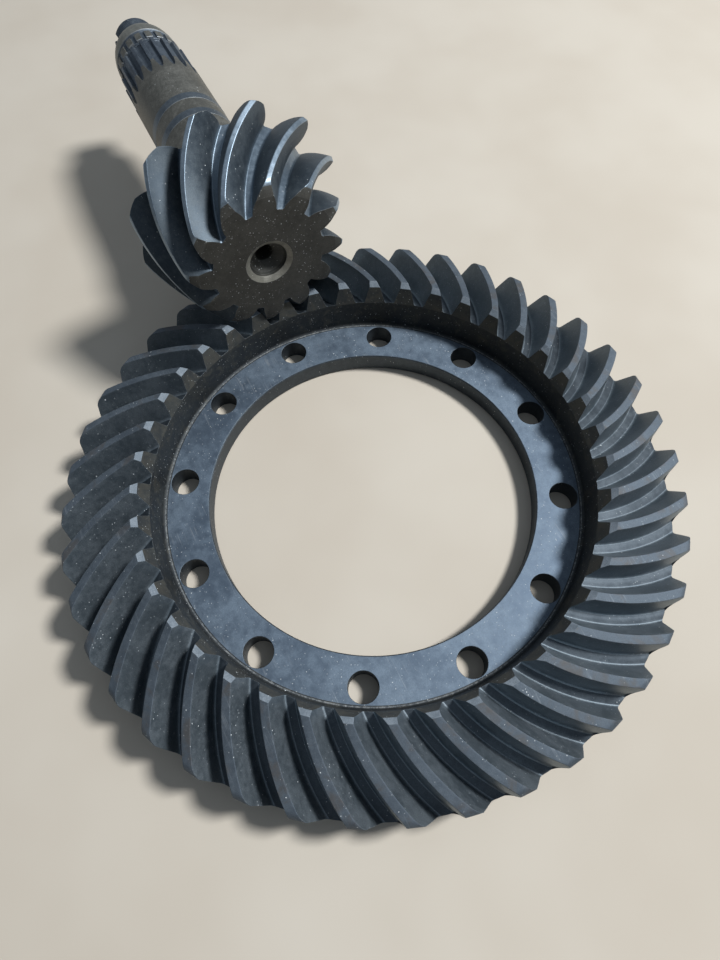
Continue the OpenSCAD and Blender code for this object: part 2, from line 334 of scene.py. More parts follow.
WHEEL_ZONES = ["flank", "crest", "bevel", "fillet", "root", "facet", "toe", "heel",
               "flange", "body", "wall", "dustline"]


def wheel_sections():
    """(share of the face width, crest drop in degrees) of each section, toe to heel."""
    face = WHEEL_HEEL - WHEEL_TOE
    corner = [(float(1 - HEEL_CORNER_R * (1 - sin(a)) / face),
               float(math.degrees(HEEL_CORNER_R * (1 - cos(a)) / WHEEL_HEEL)))
              for a in np.linspace(0, HEEL_CORNER_TURN, HEEL_CORNER_STEPS + 1)]
    corner[-1] = (1.0, corner[-1][1])
    full = np.linspace(TOE_FACET, corner[0][0], FACE_STEPS)[:-1]
    return [(0.0, TOE_DROP)] + [(u, 0.0) for u in full] + corner


def wheel_dist(u, t):
    """Distance from the apex at share u of the face width, where the heel end leans."""
    r = RIM_R + (WHEEL_R - RIM_R) * (t - WHEEL_ROOT) / (WHEEL_CREST - WHEEL_ROOT)
    return WHEEL_TOE + (r / sin(t) - WHEEL_TOE) * u


def wheel_section(u, drop):
    """The ring of tooth profiles at share u of the face width."""
    a, t = repeat_teeth(tooth(WHEEL_GEAR, WHEEL_CREST - drop), WHEEL_TEETH)
    d = wheel_dist(u, t)
    a = a + TOOTH_PHASE + swirl(d)
    return np.c_[d * sin(t) * cos(a), d * sin(t) * sin(a), APEX_H - d * cos(t)]


def wheel_circle(r, z, d):
    """A ring of the lathe-turned part, turned as far as the teeth are at distance d."""
    a, _ = repeat_teeth(tooth(WHEEL_GEAR, WHEEL_CREST), WHEEL_TEETH)
    a = a + TOOTH_PHASE + swirl(d)
    return np.c_[r * cos(a), r * sin(a), np.full(len(a), z)]


def back_rows():
    """(radius, height, distance, zone) from the heel's foot round the back to the bore."""
    outer = [(RIM_R, RIM_TOP_Z, "heel"),
             (RIM_R, RIM_TOP_Z - RIM_BAND, "body"),
             (RIM_R, RIM_EDGE + EDGE_HOLD, "body"),
             (RIM_R, RIM_EDGE, "body"),
             (RIM_R - RIM_EDGE, 0, "body"),
             (RIM_R - RIM_EDGE - FACE_HOLD, 0, "body")]
    inner = [(BORE_R + BORE_FOOT_EDGE + FACE_HOLD, 0, "body"),
             (BORE_R + BORE_FOOT_EDGE, 0, "body"),
             (BORE_R, BORE_FOOT_EDGE, "body"),
             (BORE_R, BORE_FOOT_EDGE + EDGE_HOLD, "body"),
             (BORE_R, FLANGE_T - BORE_TOP_EDGE - EDGE_HOLD, "body"),
             (BORE_R, FLANGE_T - BORE_TOP_EDGE, "body"),
             (BORE_R + BORE_TOP_EDGE, FLANGE_T, "body")]
    return ([(r, z, WHEEL_HEEL, zone) for r, z, zone in outer]
            + [(r, z, WHEEL_TOE, zone) for r, z, zone in inner])


def recess_rows():
    """(radius, height, distance, zone) across the flange and up the recess wall."""
    foot_r = RECESS_R - RECESS_FILLET
    rows = [(BORE_R + BORE_TOP_EDGE + FACE_HOLD, FLANGE_T, "flange"),
            (foot_r - FLANGE_HOLD, FLANGE_T, "flange")]
    for a in np.linspace(0, 90, FILLET_STEPS + 1):
        rows.append((foot_r + RECESS_FILLET * float(sin(a)),
                     FLANGE_T + RECESS_FILLET * (1 - float(cos(a))),
                     "dustline" if 0 < a < DUST_TURN else "wall"))
    rows.append((WALL_TOP_R - WALL_TOP_LEAN, WALL_TOP_Z - WALL_TOP_RUN, "wall"))
    rows.append((WALL_TOP_R, WALL_TOP_Z, "wall"))
    return [(r, z, WHEEL_TOE, zone) for r, z, zone in rows]


def bolt_cutter(finish):
    """A chamfered pin for each bolt hole, in one mesh, to be cut out of the flange."""
    wide = BOLT_HOLE_R + BOLT_EDGE + CUT_PAST
    profile = [(wide, -CUT_PAST), (BOLT_HOLE_R, BOLT_EDGE),
               (BOLT_HOLE_R, FLANGE_T - BOLT_EDGE), (wide, FLANGE_T + CUT_PAST)]
    n = BOLT_SIDES
    a = np.arange(n) * 360 / n
    verts, quads, polys = [], [], []
    for turn in np.arange(BOLT_COUNT) * 360 / BOLT_COUNT:
        x, y = BOLT_CIRCLE_R * cos(turn), BOLT_CIRCLE_R * sin(turn)
        base = len(verts) * n
        top = base + (len(profile) - 1) * n
        verts += [np.c_[x + r * cos(a), y + r * sin(a), np.full(n, z)] for r, z in profile]
        quads.append(ring_faces(len(profile), n) + base)
        polys.append(list(range(base, base + n))[::-1])
        polys.append(list(range(top, top + n)))
    quads = np.vstack(quads)
    zones = [WHEEL_ZONES.index("body")] * (len(quads) + len(polys))
    return mesh_object("bolt_cutter", np.vstack(verts), quads, zones, finish, polys)


def wheel_strips(section_count, turned):
    """Zone index of every strip of faces, in the order of the rings."""
    zone = {z: i for i, z in enumerate(WHEEL_ZONES)}
    columns = np.tile([zone[z] for z in zone_of_profile(WHEEL_GEAR)], WHEEL_TEETH)
    on_crest = np.isin(columns, [zone["crest"], zone["bevel"]])
    strips = [np.where(on_crest, zone["facet"], columns)]
    strips += [columns] * (section_count - 2)
    strips += [np.full(len(columns), zone[z]) for *_, z in turned]
    strips.append(np.full(len(columns), zone["toe"]))
    return np.concatenate(strips)


def crown_wheel(finish):
    """The toothed ring, its rings running from toe to heel, round the back and to the toe."""
    sections = wheel_sections()
    turned = back_rows() + recess_rows()
    rings = [wheel_section(u, drop) for u, drop in sections]
    rings += [wheel_circle(r, z, d) for r, z, d, _ in turned]
    verts = np.vstack(rings)
    quads = ring_faces(len(rings) + 1, len(rings[0])) % len(verts)
    quads = flip_if_inside_out(verts, quads)
    zones = wheel_strips(len(sections), turned)
    o = mesh_object("crown_wheel_forging", verts, quads, zones, finish)
    cut(o, bolt_cutter(finish))
    sharpen(o)
    return o


# ------------------------------------ pinion head
NOSE_CONE_R = 42.0          # the nose is flat inside this radius
NOSE_CONE_SLOPE = 0.42
NOSE_FLAT_SHARE = 0.75      # where the ring in the middle of the flat nose lies
NOSE_TOOTH_GAP = 0.25       # from the flat's outermost ring to the ends of the teeth
CENTRE_CONE_R = 14.5
CENTRE_CONE_HOLD = 0.25     # depth of the ring that keeps the countersink's edge tight
STEP_R = 11.2               # radius of the step inside the countersink
STEP_FOOT = 3.4             # its depth below the nose
STEP_TOP = 1.9              # depth of its upper edge
STEP_LEAN = 0.2             # how much wider it is there
INNER_CONE_R = 10.4         # wide end of the cone below the step
INNER_CONE_TOP = 4.0        # its depth there
INNER_CONE_FOOT = 8.8       # and where it meets the pilot hole
CENTRE_PILOT_R = 5.2
PILOT_EDGE = 0.2
CENTRE_DEPTH = 24.0
DRILL_TIP_H = 2.0
DRILL_TIP_R = 0.6           # of the flat that closes the drill's point
PINION_FACE_STEPS = 36
# (share of the face width, crest drop in degrees) where the teeth are rounded off
NOSE_ROUNDING = [(0.0, 0.5), (0.008, 0.22), (0.02, 0.06)]
HEEL_ROUNDING = [(0.94, 0.0), (0.96, 0.35), (0.98, 0.85), (1.0, 1.5)]
CREST_START = 0.04          # share of the face width where the full crest starts
CHIP_START = 0.95           # and where its ground heel chamfer starts
COLUMNS = PINION_TEETH * len(zone_of_profile(PINION_GEAR))
PINION_ZONES = ["flank", "crest", "bevel", "fillet", "root", "chip", "nose", "nosecone",
                "ringcone", "drill", "back", "olive", "band", "edge", "spline", "notch",
                "collar", "stub"]


def pinion_sections():
    """(share of the face width, crest drop in degrees) of each section, nose to heel."""
    full = np.linspace(CREST_START, HEEL_ROUNDING[0][0], PINION_FACE_STEPS)[:-1]
    return NOSE_ROUNDING + [(u, 0.0) for u in full] + HEEL_ROUNDING


def pinion_dist(u, t):
    """Distance from the apex, where the nose end is flat and then a shallow cone."""
    lean = (NOSE_X - NOSE_CONE_SLOPE * NOSE_CONE_R) / (cos(t) - NOSE_CONE_SLOPE * sin(t))
    nose = np.maximum(NOSE_X / cos(t), lean)
    return nose + (PINION_HEEL - nose) * u


def pinion_azimuth(a, d):
    return a + PINION_PITCH / 2 + (TOOTH_PHASE + swirl(d)) * RATIO


def pinion_section(u, drop):
    """The ring of tooth profiles at share u of the face width."""
    a, t = repeat_teeth(tooth(PINION_GEAR, PINION_CREST - drop), PINION_TEETH)
    d = pinion_dist(u, t)
    return around_pinion(d * cos(t), d * sin(t), pinion_azimuth(a, d))


def centre_rows():
    """(depth, radius, zone) of the drilled centre, from its bottom to the nose."""
    return [(CENTRE_DEPTH, DRILL_TIP_R, "drill"),
            (CENTRE_DEPTH - DRILL_TIP_H, CENTRE_PILOT_R, "drill"),
            (INNER_CONE_FOOT + FACE_HOLD, CENTRE_PILOT_R, "drill"),
            (INNER_CONE_FOOT, CENTRE_PILOT_R + PILOT_EDGE, "drill"),
            (INNER_CONE_TOP, INNER_CONE_R, "nosecone"),
            (STEP_FOOT, STEP_R, "drill"),
            (STEP_TOP, STEP_R + STEP_LEAN, "drill"),
            (STEP_TOP - EDGE_HOLD, STEP_R + STEP_LEAN + EDGE_HOLD, "ringcone"),
            (CENTRE_CONE_HOLD, CENTRE_CONE_R - EDGE_HOLD, "ringcone"),
            (0, CENTRE_CONE_R, "ringcone"),
            (0, CENTRE_CONE_R + FACE_HOLD, "nose")]


def nose_rings():
    """(points, zone) of the drilled centre and the flat of the nose, outwards."""
    a, t = repeat_teeth(tooth(PINION_GEAR, PINION_CREST), PINION_TEETH)
    d = pinion_dist(0, t)
    a = pinion_azimuth(a, d)
    rings = [(around_pinion(NOSE_X + x, r, a), zone) for x, r, zone in centre_rows()]
    flat = np.minimum(d * sin(t) - NOSE_TOOTH_GAP, NOSE_CONE_R)
    for share in (NOSE_FLAT_SHARE, 1.0):
        rings.append((around_pinion(NOSE_X, flat * share, a), "nose"))
    return rings


# ------------------------------------ pinion's shaft
HEAD_BACK_X = 184.0
HEAD_BACK_R = 44.0          # where the flat back of the head starts, inside the roots
JOURNAL_R = mount_mm("inner_journal", "r_mm")
JOURNAL_END = mount_x("inner_journal", 1)
JOURNAL_EDGE = 1.0
JOURNAL_FILLET_L = 3.0
JOURNAL_FILLET_R = 3.2
JOURNAL_FILLET_STEPS = 5
UNDERCUT = 0.6              # depth of the groove behind the journal
UNDERCUT_W = 2.2
UNDERCUT_RISE = 0.4         # length of its sloping end
SHAFT_R = mount_mm("outer_journal", "r_mm")
LAND_W = 6.0
LAND_H = 0.14
LAND_EDGE = 0.2             # length of the slope at each side of a land
LAND_SPACING = 17.0
LAND_B_END = mount_x("outer_journal", -1)
LAND_A_END = LAND_B_END - LAND_SPACING
SHAFT_STEP = 10             # between the shaft's plain rings
SPLINE_R = mount_mm("drive_spline", "r_mm")
SPLINE_START = mount_x("drive_spline", -1)
SPLINE_END = mount_x("drive_spline", 1)
SPLINE_COUNT = 20
SPLINE_DEPTH = 2.4
SPLINE_LEAD = 4.0           # plain shaft with a ring of its own before the splines
SPLINE_RUNOUT = 11.0
SPLINE_SHOULDER = 0.5       # length of the step from the shaft down to the splines
SPLINE_EDGE = 0.4           # chamfer at their far end
SPLINE_STEP = 6
RUNOUT_STEPS = 16
RUNOUT_EASE = 1.6           # above 1, the rings crowd towards the grooves' start
RUNOUT_LEAST = 0.02         # least width of a groove, as a share of the full one
FLOOR_COLUMNS = 10          # of a half groove's columns, those on its floor
WALL_COLUMNS = 3            # and those on its wall
HALF_COLUMNS = COLUMNS // SPLINE_COUNT // 2
GROOVE_FLOOR = FLOOR_COLUMNS / HALF_COLUMNS
GROOVE_TOP = (FLOOR_COLUMNS + WALL_COLUMNS) / HALF_COLUMNS
WALL_RUN = 0.1              # length along the axis of a steep groove wall
BAND_START = SPLINE_END + 3.0
BAND_R = 23.4
BAND_DEPTH = 1.1
BAND_STEP = 2
NOTCH_SHARE = 0.39          # share of the band's pitch that a notch takes
NOTCH_WALL = 0.06
RELIEF_R = BAND_R - BAND_DEPTH - 0.2    # just below the notches
TURNED_EDGE = 0.3           # chamfer of the band, the collar's foot and the stub
RING_X = 337.0
RING_R = 21.6
RING_RISE = 0.6             # length of the ring groove's sloping far wall
COLLAR_START = RING_X + 3.6
COLLAR_R = 22.9
COLLAR_SMALL_R = 17.5
COLLAR_GAP = 0.2            # from the collar to where the thread is reckoned from
COLLAR_END = mount_x("nut_thread", -1) - COLLAR_GAP
COLLAR_TURN = 72            # degrees of arc in the rounded collar
COLLAR_STEPS = 14
STUB_R = mount_mm("nut_thread", "r_mm")
STUB_NECK = 0.5             # depth of the neck between collar and thread
STUB_EDGE_L = 1.5           # length and depth of the stub's end chamfer
STUB_EDGE_R = 1.6
STUB_ROUND = 0.5            # how far its last corner is rounded in
STUB_TIP_R = 0.5            # radius of the flat that closes the stub's end
SHAFT_END = shaft_high.x / MM
THREAD_PITCH = 1.5
THREAD_DEPTH = 0.35
THREAD_RINGS = 6            # to a pitch
COTTER_W = 5.0
COTTER_DEPTH = 9.0
COTTER_TURN = 25            # of the slot above the horizontal


class Outline:
    """A turned outline: rows of (x, radius, zone of the strip before the row)."""

    def __init__(self, x, r, zone):
        self.rows = [(x, r, zone)]

    def to(self, x, r, zone, step=None):
        """Adds rows from the last one to (x, r), about step apart if step is given."""
        x0, r0, _ = self.rows[-1]
        n = 1 if step is None else max(1, int(round(abs(x - x0) / step)))
        for s in np.linspace(0, 1, n + 1)[1:]:
            self.rows.append((x0 + (x - x0) * s, r0 + (r - r0) * s, zone))


def draw_journal(line):
    """The back of the head, the inner journal with its root fillet, and the undercut."""
    foot_r = JOURNAL_R + JOURNAL_FILLET_R
    line.to(HEAD_BACK_X, foot_r, "back")
    for a in np.linspace(0, 90, JOURNAL_FILLET_STEPS + 1)[1:]:
        line.to(HEAD_BACK_X + JOURNAL_FILLET_L * (1 - float(cos(a))),
                foot_r - JOURNAL_FILLET_R * float(sin(a)), "back")
    line.to(JOURNAL_END - JOURNAL_EDGE, JOURNAL_R, "olive", step=SHAFT_STEP)
    line.to(JOURNAL_END, JOURNAL_R - JOURNAL_EDGE, "edge")
    line.to(JOURNAL_END, SHAFT_R - UNDERCUT, "back")
    line.to(JOURNAL_END + UNDERCUT_W, SHAFT_R - UNDERCUT, "back")
    line.to(JOURNAL_END + UNDERCUT_W + UNDERCUT_RISE, SHAFT_R, "olive")


def draw_land(line, end):
    """Plain shaft up to a ground land, and the land."""
    line.to(end - LAND_W - LAND_EDGE, SHAFT_R, "olive", step=SHAFT_STEP)
    line.to(end - LAND_W, SHAFT_R + LAND_H, "edge")
    line.to(end - LAND_EDGE, SHAFT_R + LAND_H, "band")
    line.to(end, SHAFT_R, "edge")


def draw_splines(line):
    """Plain shaft, the splines' run-out and the splines."""
    line.to(SPLINE_START - SPLINE_LEAD, SHAFT_R, "olive", step=SHAFT_STEP)
    line.to(SPLINE_START, SHAFT_R, "olive")
    for s in np.linspace(0, 1, RUNOUT_STEPS + 1)[1:]:
        line.to(SPLINE_START + SPLINE_RUNOUT * s ** RUNOUT_EASE, SHAFT_R, "olive")
    line.to(SPLINE_START + SPLINE_RUNOUT + SPLINE_SHOULDER, SPLINE_R, "edge")
    line.to(SPLINE_END - SPLINE_EDGE, SPLINE_R, "spline", step=SPLINE_STEP)
    line.to(SPLINE_END, SPLINE_R - SPLINE_EDGE, "edge")


def draw_band(line):
    """The relief groove, the notched band and the ring groove."""
    line.to(SPLINE_END + WALL_RUN, RELIEF_R, "notch")
    line.to(BAND_START, RELIEF_R, "notch")
    line.to(BAND_START + WALL_RUN, BAND_R - TURNED_EDGE, "edge")
    line.to(BAND_START + WALL_RUN + TURNED_EDGE, BAND_R, "edge")
    line.to(RING_X - TURNED_EDGE, BAND_R, "olive", step=BAND_STEP)
    line.to(RING_X, BAND_R - TURNED_EDGE, "edge")
    line.to(RING_X + WALL_RUN, RING_R, "notch")
    line.to(COLLAR_START - TURNED_EDGE - RING_RISE, RING_R, "notch")
    line.to(COLLAR_START - TURNED_EDGE, COLLAR_R - TURNED_EDGE, "notch")
    line.to(COLLAR_START, COLLAR_R, "edge")


def draw_collar(line):
    """The collar, rounded down to its small end."""
    for a in np.linspace(0, COLLAR_TURN, COLLAR_STEPS + 1)[1:]:
        along = float(sin(a) / sin(COLLAR_TURN))
        out = float((cos(a) - cos(COLLAR_TURN)) / (1 - cos(COLLAR_TURN)))
        line.to(COLLAR_START + (COLLAR_END - COLLAR_START) * along,
                COLLAR_SMALL_R + (COLLAR_R - COLLAR_SMALL_R) * out, "collar")


def draw_stub(line):
    """The threaded stub with its chamfered end."""
    line.to(COLLAR_END + WALL_RUN, STUB_R - STUB_NECK, "notch")
    line.to(SHAFT_END - STUB_EDGE_L, STUB_R, "stub", step=THREAD_PITCH / THREAD_RINGS)
    line.to(SHAFT_END - TURNED_EDGE, STUB_R - STUB_EDGE_R + STUB_ROUND, "edge")
    line.to(SHAFT_END, STUB_R - STUB_EDGE_R, "edge")
    line.to(SHAFT_END, STUB_TIP_R, "stub")


def shaft_rows():
    """(x, radius, zone of the strip before it) of the shaft's turned outline."""
    line = Outline(HEAD_BACK_X, HEAD_BACK_R, "back")
    draw_journal(line)
    draw_land(line, LAND_A_END)
    draw_land(line, LAND_B_END)
    draw_splines(line)
    draw_band(line)
    draw_collar(line)
    draw_stub(line)
    return line.rows


def groove_share():
    """Per column: its place from a groove's middle (0) to a land's middle (1)."""
    k = np.arange(COLUMNS) % (2 * HALF_COLUMNS)
    return np.minimum(k, 2 * HALF_COLUMNS - k) / HALF_COLUMNS


def groove_growth(x):
    """How far the spline grooves have run in at x, from 0 to 1. None off the splines."""
    if not SPLINE_START <= x < SPLINE_END + WALL_RUN / 2:
        return None
    return min(1.0, (x - SPLINE_START) / SPLINE_RUNOUT)


def shaft_radii(x, r):
    """Radius of each column at x, with the spline grooves and the notches sunk in."""
    share = groove_share()
    growth = groove_growth(x)
    if growth is not None:
        wall = np.clip((GROOVE_TOP - share) / (GROOVE_TOP - GROOVE_FLOOR), 0, 1)
        return r - wall * SPLINE_DEPTH * growth * (2 - growth)
    if BAND_START + WALL_RUN / 2 < x < RING_X + WALL_RUN / 2:
        wall = np.clip((NOTCH_SHARE - share) / NOTCH_WALL, 0, 1)
        return np.minimum(r, BAND_R - wall * BAND_DEPTH)
    return np.full(COLUMNS, r)


def shaft_azimuths(x):
    """Azimuth of each column at x. The columns gather at the groove edges in the run-outs."""
    growth = groove_growth(x)
    width = 1.0 if growth is None else max(RUNOUT_LEAST, math.sqrt(growth))
    moved = np.interp(groove_share(), [0, GROOVE_TOP, 1], [0, GROOVE_TOP * width, 1])
    groove, place = np.divmod(np.arange(COLUMNS), 2 * HALF_COLUMNS)
    leading = place < HALF_COLUMNS
    turns = np.where(leading, groove + moved / 2, groove + 1 - moved / 2)
    return turns * 360 / SPLINE_COUNT


def shaft_ring(x, r, offset):
    """One ring of the shaft, its columns shifted by offset to meet the head's."""
    a = shaft_azimuths(x)
    radius = shaft_radii(x, r)
    if COLLAR_END < x < SHAFT_END - STUB_EDGE_L + WALL_RUN:
        turn = (x / THREAD_PITCH - a / 360) % 1
        radius = radius - THREAD_DEPTH * np.abs(2 * turn - 1)
    order = (np.arange(COLUMNS) - offset) % COLUMNS
    return around_pinion(x, radius[order], a[order])


def pinion_strips(head, sections, rows):
    """Zone index of every strip of faces, in the order of the rings."""
    zone = {z: i for i, z in enumerate(PINION_ZONES)}
    columns = np.tile([zone[z] for z in zone_of_profile(PINION_GEAR)], PINION_TEETH)
    on_crest = np.isin(columns, [zone["crest"], zone["bevel"]])
    strips = [np.full(COLUMNS, zone[z]) for _, z in head[1:]]
    strips.append(np.full(COLUMNS, zone["nosecone"]))
    for u, _ in sections[1:]:
        strips.append(np.where(on_crest & (u > CHIP_START), zone["chip"], columns))
    share = groove_share()
    grooved = share < GROOVE_TOP
    for x, _, z in rows:
        strip = np.full(COLUMNS, zone[z])
        if SPLINE_START < x < SPLINE_END:
            strip = np.where(grooved & np.roll(grooved, -1), zone["spline"], strip)
        if BAND_START < x <= RING_X:
            strip = np.where(share < NOTCH_SHARE, zone["notch"], strip)
        strips.append(strip)
    return strips


def column_offset(last_ring):
    """How many shaft columns lie between azimuth zero and the head's first column."""
    p = last_ring[0]
    a = math.degrees(math.atan2(p[1], APEX_H - p[2])) % 360
    return -int(round(a / 360 * COLUMNS))


def cotter_cutter(finish):
    """The bar that cuts the cotter slot across the stub's end."""
    reach = STUB_R + CUT_PAST
    corners = [(x, y * cos(COTTER_TURN) - z * sin(COTTER_TURN),
                APEX_H + y * sin(COTTER_TURN) + z * cos(COTTER_TURN))
               for x in (SHAFT_END - COTTER_DEPTH, SHAFT_END + CUT_PAST)
               for y in (-reach, reach) for z in (-COTTER_W / 2, COTTER_W / 2)]
    quads = [(0, 1, 3, 2), (4, 6, 7, 5), (0, 4, 5, 1), (2, 3, 7, 6), (0, 2, 6, 4), (1, 5, 7, 3)]
    zones = [PINION_ZONES.index("stub")] * len(quads)
    return mesh_object("cotter_cutter", corners, quads, zones, finish)


def pinion_shaft(finish):
    """The pinion and its shaft in one skin, its rings running from the drilled centre
    over the teeth and down the shaft, with a polygon to close each end."""
    head = nose_rings()
    sections = pinion_sections()
    rows = shaft_rows()
    rings = [points for points, _ in head]
    rings += [pinion_section(u, drop) for u, drop in sections]
    offset = column_offset(rings[-1])
    rings += [shaft_ring(x, r, offset) for x, r, _ in rows]
    verts = np.vstack(rings)
    quads = ring_faces(len(rings), COLUMNS)
    turned = flip_if_inside_out(verts, quads)
    first = list(range(COLUMNS))
    last = list(range(len(verts) - COLUMNS, len(verts)))
    caps = [first[::-1], last] if turned is quads else [first, last[::-1]]
    cap_zones = [PINION_ZONES.index("drill"), PINION_ZONES.index("stub")]
    zones = np.concatenate(pinion_strips(head, sections, rows) + [cap_zones])
    o = mesh_object("pinion_with_shaft", verts, turned, zones, finish, caps)
    cut(o, cotter_cutter(finish))
    sharpen(o)
    return o


# ------------------------------------ node graphs
def set_input(tree, node, key, value):
    """Links value to an input if it is a socket, and otherwise stores it there."""
    if isinstance(value, bpy.types.NodeSocket):
        tree.links.new(value, node.inputs[key])
    else:
        node.inputs[key].default_value = value


class Graph:
    """A short way to write the nodes of a material or a world."""

    def __init__(self, owner):
        owner.use_nodes = True
        self.owner = owner
        self.tree = owner.node_tree
        self.tree.nodes.clear()

    def node(self, kind, inputs=None, **props):
        n = self.tree.nodes.new("ShaderNode" + kind)
        for key, value in props.items():
            setattr(n, key, value)
        for key, value in (inputs or {}).items():
            set_input(self.tree, n, key, value)
        return n

    def place(self):
        """Each point's place on its piece."""
        return self.node("TexCoord").outputs["Object"]

    def math(self, op, a, b):
        return self.node("Math", {0: a, 1: b}, operation=op).outputs[0]

    def times(self, a, b):
        return self.math("MULTIPLY", a, b)

    def weigh(self, a, a_weight, b, b_weight):
        """The sum of a and b, each times its own weight."""
        return self.math("ADD", self.times(a, a_weight), self.times(b, b_weight))

    def dot(self, a, b):
        return self.node("VectorMath", {0: a, 1: b}, operation="DOT_PRODUCT").outputs["Value"]

    def mix(self, fac, a, b):
        """Colour a turning into colour b as fac goes from 0 to 1."""
        n = self.node("Mix", {"Factor": fac}, data_type="RGBA")
        for key, colour in ((6, a), (7, b)):
            is_socket = isinstance(colour, bpy.types.NodeSocket)
            set_input(self.tree, n, key, colour if is_socket else (*colour, 1))
        return n.outputs[2]

    def ramp(self, value, low, high, start=0.0, stop=1.0):
        """value between low and high, spread from start to stop, and held beyond them."""
        return self.node("MapRange", {"Value": value, "From Min": low, "From Max": high,
                                      "To Min": start, "To Max": stop},
                         interpolation_type="SMOOTHSTEP").outputs[0]

    def noise(self, vector, size_mm, detail, rough=0.55, distort=0.0):
        """Noise whose blobs are about size_mm across."""
        return self.node("TexNoise", {"Vector": vector, "Scale": 1 / (size_mm * MM),
                                      "Detail": detail, "Roughness": rough,
                                      "Distortion": distort}).outputs["Fac"]


# ------------------------------------ coated steel
WORN_TINT = (0.30, 0.33, 0.36)
DUST_TINT = (0.66, 0.69, 0.70)
DUST_COVER = 0.95           # how much of the colour below a speck of dust hides
DUST_ROUGHNESS = 0.3        # added where a speck lies
GRAIN_SIZE = 0.55           # mm
GRAIN_DARK = 0.55           # brightness of the grain's dark side
GRAIN_DEPTH = 0.7           # share of the grain in the bumps
BLOTCH_DEPTH = 0.5          # share of the blotches in them
BLOTCHES_PER_CLOUD = 7
CLOUD_WEIGHT, BLOTCH_WEIGHT = 0.55, 0.45
EDGE_WEAR_R = 0.35          # mm of each edge that is rounded and rubbed
BUMP_HEIGHT = 0.15          # mm
SMOOTHER, ROUGHER = -0.05, 0.07     # added in the darkest and lightest clouds
ROUGH_TONES = (0.35, 0.65)          # tones taken as those two
GRAIN_NOISE = (0.60, 0.36)          # noise at which the grain starts and is full
PATCH_NOISE = (0.38, 0.62)          # noise at which the dust is thinnest and thickest
HAIR_FINENESS = 900.0               # noise cells to a metre across a hairline
HAIR_LEAN = (0.3, 0.2)              # radians that the hairlines lean out of the plane
HAIR_BREAKS = (0.5, 0.7)            # noise at which they fade in and are whole
RUBBED_COS = (0.985, 0.86)          # how far an edge turns before it is rubbed


def speckles(g, place, spacing_mm, size, share):
    """Round specks of mixed brightness, one to a cell at most, in that share of the cells."""
    cell = g.node("TexVoronoi", {"Vector": place, "Scale": 1 / (spacing_mm * MM)})
    near = g.math("LESS_THAN", cell.outputs["Distance"], size)
    split = g.node("SeparateColor", {"Color": cell.outputs["Color"]})
    kept = g.math("LESS_THAN", split.outputs[0], share)
    bright = g.math("POWER", split.outputs[1], 2.0)
    return g.times(g.times(near, kept), bright)


def dust_specks(g, place, dust):
    """A few large specks, and many small ones that lie thicker in patches."""
    large = speckles(g, place, spacing_mm=5.5, size=0.075, share=dust * 0.8)
    small = speckles(g, place, spacing_mm=1.5, size=0.18, share=dust * 2.6)
    patchy = g.ramp(g.noise(place, 14, detail=3), *PATCH_NOISE, start=0.25)
    return g.math("MAXIMUM", large, g.times(small, patchy))


def scratches(g, place, stretch, tilt, width):
    """Thin hairlines in one direction, broken up by a coarser noise."""
    turned = g.node("Mapping", {"Vector": place, "Rotation": (*HAIR_LEAN, tilt),
                                "Scale": (stretch, HAIR_FINENESS, stretch)})
    lines = g.node("TexNoise", {"Vector": turned.outputs[0], "Scale": 1.0, "Detail": 2})
    hair = g.ramp(lines.outputs["Fac"], 0.5 + width, 0.5 + 3 * width)
    return g.times(hair, g.ramp(g.noise(place, 15, detail=3), *HAIR_BREAKS))


def scuff(g, place, colour, amount):
    """The colour with hairlines of bare metal in two directions."""
    hair = g.math("MAXIMUM", scratches(g, place, stretch=14.0, tilt=0.7, width=0.07),
                  scratches(g, place, stretch=20.0, tilt=2.1, width=0.08))
    return g.mix(g.times(hair, amount), colour, WORN_TINT)


def soil(g, place, colour, size, tint, low, high, amount):
    """The colour with patches of dirt where a noise is above low, at their full above high."""
    dirt = g.noise(place, size, detail=6, rough=0.65, distort=0.8)
    return g.mix(g.ramp(dirt, low, high, stop=amount), colour, tint)


def edge_rub(g, place, rounded):
    """1 on edges, where the rounded normal turns away from the face's own, and broken up."""
    own = g.node("NewGeometry").outputs["True Normal"]
    broken = g.ramp(g.noise(place, 3.0, detail=4), 0.3, 0.6, start=0.35)
    return g.times(g.ramp(g.dot(rounded, own), *RUBBED_COS), broken)


